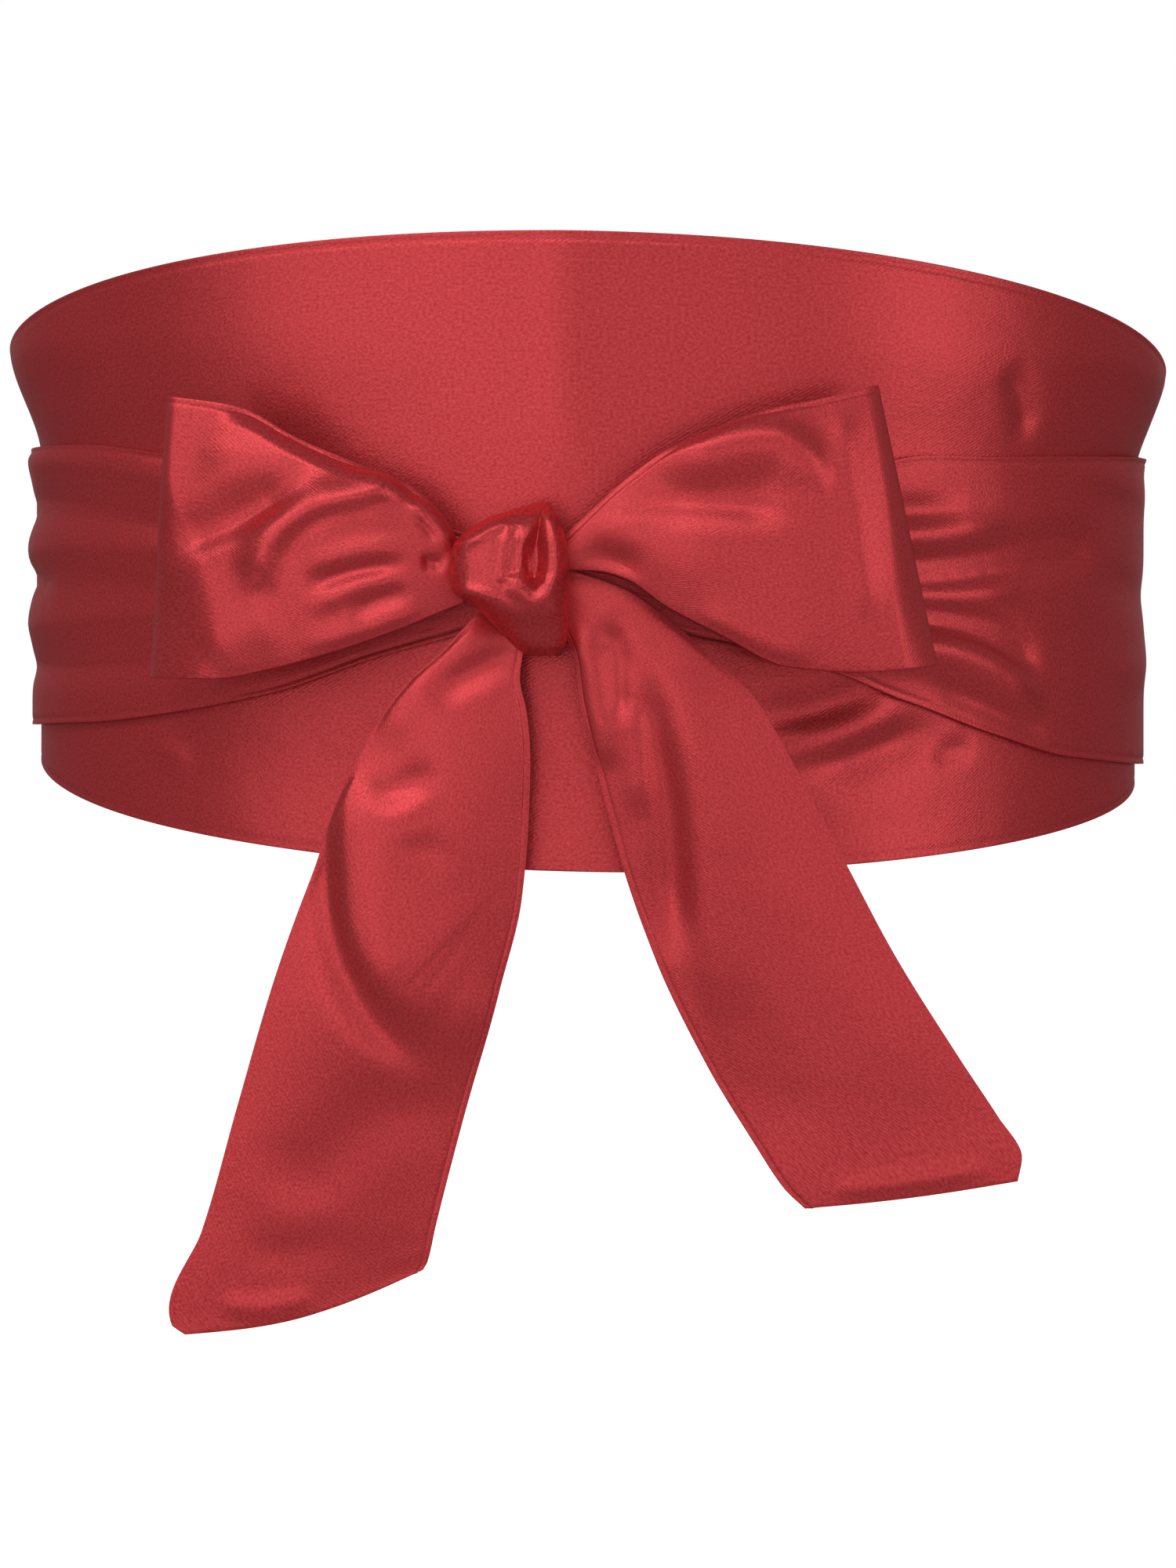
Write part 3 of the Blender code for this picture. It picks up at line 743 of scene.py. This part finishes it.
def signed_power(value, power):
    """A power that keeps the sign of its base."""
    return np.sign(value) * np.abs(value) ** power


# %% Make the knot
ball = bmesh.new()
bmesh.ops.create_uvsphere(ball, u_segments=260, v_segments=150, radius=1.0, calc_uvs=False)
sphere = np.array([vertex.co for vertex in ball.verts])
left, right, front, back = (column_curve(KNOT_ROWS, column)
                            for column in ("left", "right", "front", "back"))
level = mix(KNOT_ROWS[0].height, KNOT_ROWS[-1].height, (sphere[:, 2] + 1) / 2)
reach = np.maximum(np.hypot(sphere[:, 0], sphere[:, 1]), 1e-6)
is_pole = reach < 1e-3
across_x = np.where(is_pole, 0, signed_power(sphere[:, 0] / reach, 2 / KNOT_SQUARENESS))
across_y = np.where(is_pole, 0, signed_power(sphere[:, 1] / reach, 2 / KNOT_SQUARENESS))
knot_x = mix(left(level), right(level), (1 + across_x) / 2)
knot_y = mix(front(level), back(level), (1 + across_y) / 2)
for vertex, x, y, z in zip(ball.verts, knot_x, knot_y, level):
    vertex.co = Vector((x, y, z)) * MM
ball.normal_update()
facing_front = smooth_step(*FOLDED_FRONT, across_y)
bulge = relief(KNOT_FOLDS, knot_x, level) * facing_front
for vertex, height in zip(ball.verts, bulge):
    vertex.co.y -= height * MM
knot = finished("bow_knot", ball, np.stack([knot_x, level], axis=1) * MM, 0.0, satin)
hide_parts("knot")

# %% [markdown]
# ## The tails
#
# The tails fan out below the knot, hang over the panel and end in slanted cuts. Near the knot they
# are pleated, and lower down they open into one broad belly and one long trough each.

# %% The tails' rows
TailRow = namedtuple("TailRow", "share left_x left_z right_x right_z depth bulge")
LEFT_TAIL_ROWS = (
    TailRow(0.00, -25.5, -14.5, -15.0, -23.0, -108.0, 0.0),
    TailRow(0.04, -34.2, -24.2, -15.9, -30.0, -108.0, 1.2),
    TailRow(0.09, -42.0, -31.3, -14.4, -38.0, -107.5, 2.5),
    TailRow(0.16, -50.0, -42.4, -13.6, -48.0, -106.5, 3.5),
    TailRow(0.26, -58.2, -59.5, -14.0, -62.0, -105.0, 4.5),
    TailRow(0.38, -66.0, -80.0, -15.6, -81.0, -103.5, 5.0),
    TailRow(0.52, -73.4, -101.0, -21.0, -103.0, -102.0, 5.0),
    TailRow(0.70, -82.0, -130.0, -29.2, -132.5, -100.0, 3.0),
    TailRow(0.88, -90.4, -159.0, -35.6, -157.5, -98.5, 1.0),
    TailRow(0.975, -98.2, -177.6, -37.6, -166.2, -97.6, 0.2),
    TailRow(0.99, -97.6, -181.0, -38.2, -167.4, -97.5, 0.1),
    TailRow(1.00, -94.4, -183.4, -38.6, -168.2, -97.5, 0.0),
)
RIGHT_TAIL_ROWS = (
    TailRow(0.00, -7.0, -16.5, -6.0, -4.0, -107.0, 0.0),
    TailRow(0.06, -2.5, -26.0, 9.1, -9.6, -107.5, 1.2),
    TailRow(0.12, -1.9, -33.5, 18.2, -15.9, -107.0, 2.4),
    TailRow(0.20, -0.5, -41.0, 28.0, -24.2, -106.5, 3.2),
    TailRow(0.28, 1.5, -48.5, 38.2, -34.0, -105.5, 3.4),
    TailRow(0.38, 4.4, -60.0, 48.0, -50.3, -104.5, 3.0),
    TailRow(0.52, 9.2, -77.0, 59.6, -72.0, -103.0, 2.4),
    TailRow(0.68, 16.4, -96.8, 71.5, -94.2, -101.5, 1.6),
    TailRow(0.84, 28.0, -120.5, 86.5, -118.0, -100.0, 1.0),
    TailRow(0.94, 39.5, -139.5, 96.2, -132.6, -99.0, 0.5),
    TailRow(0.975, 46.0, -149.2, 101.6, -141.6, -98.7, 0.2),
    TailRow(1.00, 50.8, -153.8, 100.6, -147.4, -98.5, 0.0),
)

# %% The tails' folds
LEFT_TAIL_FOLDS = (
    Fold(((-21, -15.5), (-31, -24), (-41, -35), (-49.5, -47)), 1.2, 4.4, 4.0, 0.25),
    Fold(((-14, -22.0), (-25, -27.5), (-39, -34.5)), -1.6, 5.0, 3.6, 0.34),
    Fold(((-53, -57.5), (-44, -55.5), (-33, -50.5)), -1.5, 4.0, 4.4, 0.40),
    Fold(((-48, -73), (-40, -71), (-30, -68)), -0.7, 4.6, 4.6, 0.42),
    Fold(((-52.5, -46), (-54.3, -60), (-55.3, -71.4), (-54.7, -84.5), (-50.5, -94.5), (-44.0, -103.0),
          (-34, -110)), 3.1, 16.0, 4.6, 0.26),
    Fold(((-57.2, -60), (-59.8, -73.8), (-59.2, -84.5), (-56.8, -96.5), (-52.3, -106), (-45.5, -114),
          (-34, -122)), -2.0, 4.8, 4.6, 0.26),
    Fold(((-46, -98), (-34, -108), (-18, -112)), 1.3, 12.0, 10.0, 0.40),
    Fold(((-30, -128), (-48, -131), (-62, -143), (-74, -156)), -0.9, 9.0, 9.0, 0.28),
    Fold(((-62, -174), (-76, -177), (-88, -176)), 0.6, 3.0, 2.6, 0.30),
    Fold(((-84, -160), (-72, -164), (-52, -160)), -0.4, 5.0, 5.0, 0.35),
)
RIGHT_TAIL_FOLDS = (
    Fold(((-4.4, -17), (0.0, -25), (2.4, -37), (5.0, -52)), 1.3, 2.8, 2.6, 0.20),
    Fold(((2.4, -15), (6.2, -22), (7.0, -30), (7.6, -42)), -2.2, 3.8, 3.4, 0.28),
    Fold(((9.4, -24), (11.4, -36), (11.8, -48), (12.2, -64)), 1.0, 3.0, 3.0, 0.25),
    Fold(((9, -20), (13.0, -31), (16.0, -45), (18.3, -60), (19.2, -78), (19.4, -98)), -2.9, 5.2, 4.2, 0.26),
    Fold(((8, -9), (15.5, -24), (21.0, -40), (25.2, -57), (28.0, -80), (32, -106), (42, -134)),
         1.9, 11.0, 5.0, 0.36),
    Fold(((44, -70), (62, -100), (80, -132)), 0.4, 9.0, 9.0, 0.30),
    Fold(((30, -96), (40, -118), (56, -142)), -0.4, 8.0, 8.0, 0.30),
    Fold(((54, -150), (76, -147.5), (96, -144)), 0.5, 2.4, 2.0, 0.25),
)


# %% Make the tails
END_BOW_POWER = 10            # how near its end a tail's cut starts to bow
TAIL_WIDTH_M = 0.052


def tail_piece(name, rows, folds, seam_across, end_bow, length_m):
    """A tail of the bow; its seam shows at across 0 or 1, and its cut end bows down."""
    columns = ("left_x", "left_z", "right_x", "right_z", "depth", "bulge")
    left_x, left_z, right_x, right_z, depth, swell = (column_curve(rows, column) for column in columns)

    def form(along, across):
        arch = np.sin(math.pi * across)
        x = mix(left_x(along), right_x(along), across)
        y = depth(along) - swell(along) * arch
        z = mix(left_z(along), right_z(along), across) - end_bow * arch * along ** END_BOW_POWER
        return np.stack([x, y, z], axis=1) * MM

    grid, along, across = laid_grid(form, columns=230, rows=84)
    places = np.array([vertex.co for vertex in grid.verts]) / MM
    width = np.hypot(right_x(along) - left_x(along), right_z(along) - left_z(along))
    edge = width * np.minimum(across, 1 - across)
    bulge = relief(folds, places[:, 0], places[:, 2])
    bulge *= calm_edge(edge, reach=2.0, least=0.4)
    from_seam = np.abs(across - seam_across) * width
    bulge += seam_groove(from_seam, place=1.4, depth=0.22, width=0.35)
    push_out(grid, bulge * MM, to_the_front)
    weave = np.stack([along * length_m, across * TAIL_WIDTH_M], axis=1)
    return finished(name, grid, weave, TIE_WALL, satin)


tail_left = tail_piece("bow_tail_on_left", LEFT_TAIL_ROWS, LEFT_TAIL_FOLDS, 1, 3.4, 0.168)
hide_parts("tail_left")
tail_right = tail_piece("bow_tail_on_right", RIGHT_TAIL_ROWS, RIGHT_TAIL_FOLDS, 0, 0.6, 0.165)
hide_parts("tail_right")

# %% [markdown]
# ## The studio
#
# Satin is a soft mirror, so what it reflects decides its look. Wide soft lights stand to the left
# and right of the camera, a low one under it and two high ones above, with dim surroundings
# between them that leave the sides and the steep sides of folds deep red. The floor is plain and
# pale. It and the surroundings are white to the camera and greyer to the cloth, so that they
# don't fill the shadows.

# %% The floor
FLOOR_HEIGHT = -0.32
FLOOR_REACH = 40.0
FLOOR_GREY = 0.50             # what the floor gives back to the cloth
floor_grid = bmesh.new()
bmesh.ops.create_grid(floor_grid, x_segments=1, y_segments=1, size=FLOOR_REACH)
bmesh.ops.translate(floor_grid, verts=floor_grid.verts, vec=(0, 0, FLOOR_HEIGHT))
floor_mesh = bpy.data.meshes.new("floor")
floor_grid.to_mesh(floor_mesh)
floor_grid.free()
floor = bpy.data.objects.new("floor", floor_mesh)
bpy.context.scene.collection.objects.link(floor)
floor_material = bpy.data.materials.new("pale_floor")
floor_material.use_nodes = True
floor_shader = floor_material.node_tree.nodes["Principled BSDF"]
floor_shader.inputs["Base Color"].default_value = (FLOOR_GREY, FLOOR_GREY, FLOOR_GREY, 1)
floor_shader.inputs["Roughness"].default_value = 0.9
floor_shader.inputs["Specular IOR Level"].default_value = 0.0
floor_tree = floor_material.node_tree
floor_seen = floor_tree.nodes.new("ShaderNodeLightPath")
floor_tree.links.new(floor_seen.outputs["Is Camera Ray"], floor_shader.inputs["Emission Strength"])
floor_shader.inputs["Emission Color"].default_value = (1, 1, 1, 1)
floor_mesh.materials.append(floor_material)

# %% The surroundings
SURROUND_GREY = 0.25
world = bpy.data.worlds.new("studio")
bpy.context.scene.world = world
world.use_nodes = True
world_nodes, world_links = world.node_tree.nodes, world.node_tree.links
backdrop = world_nodes["Background"]
backdrop.inputs["Color"].default_value = (1, 1, 1, 1)
seen = world_nodes.new("ShaderNodeLightPath")
level_of = world_nodes.new("ShaderNodeMapRange")
level_of.inputs["To Min"].default_value = SURROUND_GREY
level_of.inputs["To Max"].default_value = 1.0
world_links.new(seen.outputs["Is Camera Ray"], level_of.inputs["Value"])
world_links.new(level_of.outputs["Result"], backdrop.inputs["Strength"])

# %% The lights
# Brightness is what the satin mirrors, so it is given for each panel of light, not its power.
Light = namedtuple("Light", "name azimuth elevation distance width tall brightness")
LIGHTS = (
    Light("left wall of light", -30, 4, 1.5, 1.35, 0.90, 1.00),
    Light("low light in front", 10, -12, 1.7, 1.45, 0.50, 1.70),
    Light("middle wall of light", 20, 10, 1.7, 1.00, 0.60, 0.45),
    Light("right wall of light", 54, 4, 1.5, 0.66, 0.90, 1.45),
    Light("high light on the left", -40, 36, 1.6, 1.50, 0.60, 2.20),
    Light("high light in the middle", 5, 36, 1.6, 1.10, 0.60, 1.60),
    Light("light behind", 180, 30, 1.8, 1.60, 1.00, 1.00),
)
AIM = Vector((0, 0, -0.02))
for row in LIGHTS:
    data = bpy.data.lights.new(row.name, "AREA")
    data.shape = "RECTANGLE"
    data.size, data.size_y = row.width, row.tall
    data.energy = row.brightness * math.pi * row.width * row.tall
    lamp = bpy.data.objects.new(row.name, data)
    bpy.context.scene.collection.objects.link(lamp)
    turn, lean = math.radians(row.azimuth), math.radians(row.elevation)
    level_distance = row.distance * math.cos(lean)
    lamp.location = (level_distance * math.sin(turn), -level_distance * math.cos(turn),
                     row.distance * math.sin(lean))
    lamp.rotation_euler = (AIM - lamp.location).to_track_quat("-Z", "Y").to_euler()

# %% [markdown]
# ## The camera
#
# A long lens from one and a half metres, level and straight on, a little below the middle of the
# panel, so that both edges of the panel curve a little.

# %% The camera
CAMERA_LENS_MM = 137.4
CAMERA_SENSOR_MM = 36.0
CAMERA_PLACE = (0.0, -1.5, -0.0544)
camera_data = bpy.data.cameras.new("camera")
camera_data.lens = CAMERA_LENS_MM
camera_data.sensor_width = CAMERA_SENSOR_MM
camera = bpy.data.objects.new("camera", camera_data)
camera.location = CAMERA_PLACE
camera.rotation_euler = (math.pi / 2, 0, 0)
bpy.context.scene.collection.objects.link(camera)
bpy.context.scene.camera = camera
bpy.context.scene.view_settings.view_transform = "Standard"
bpy.context.scene.view_settings.look = "None"
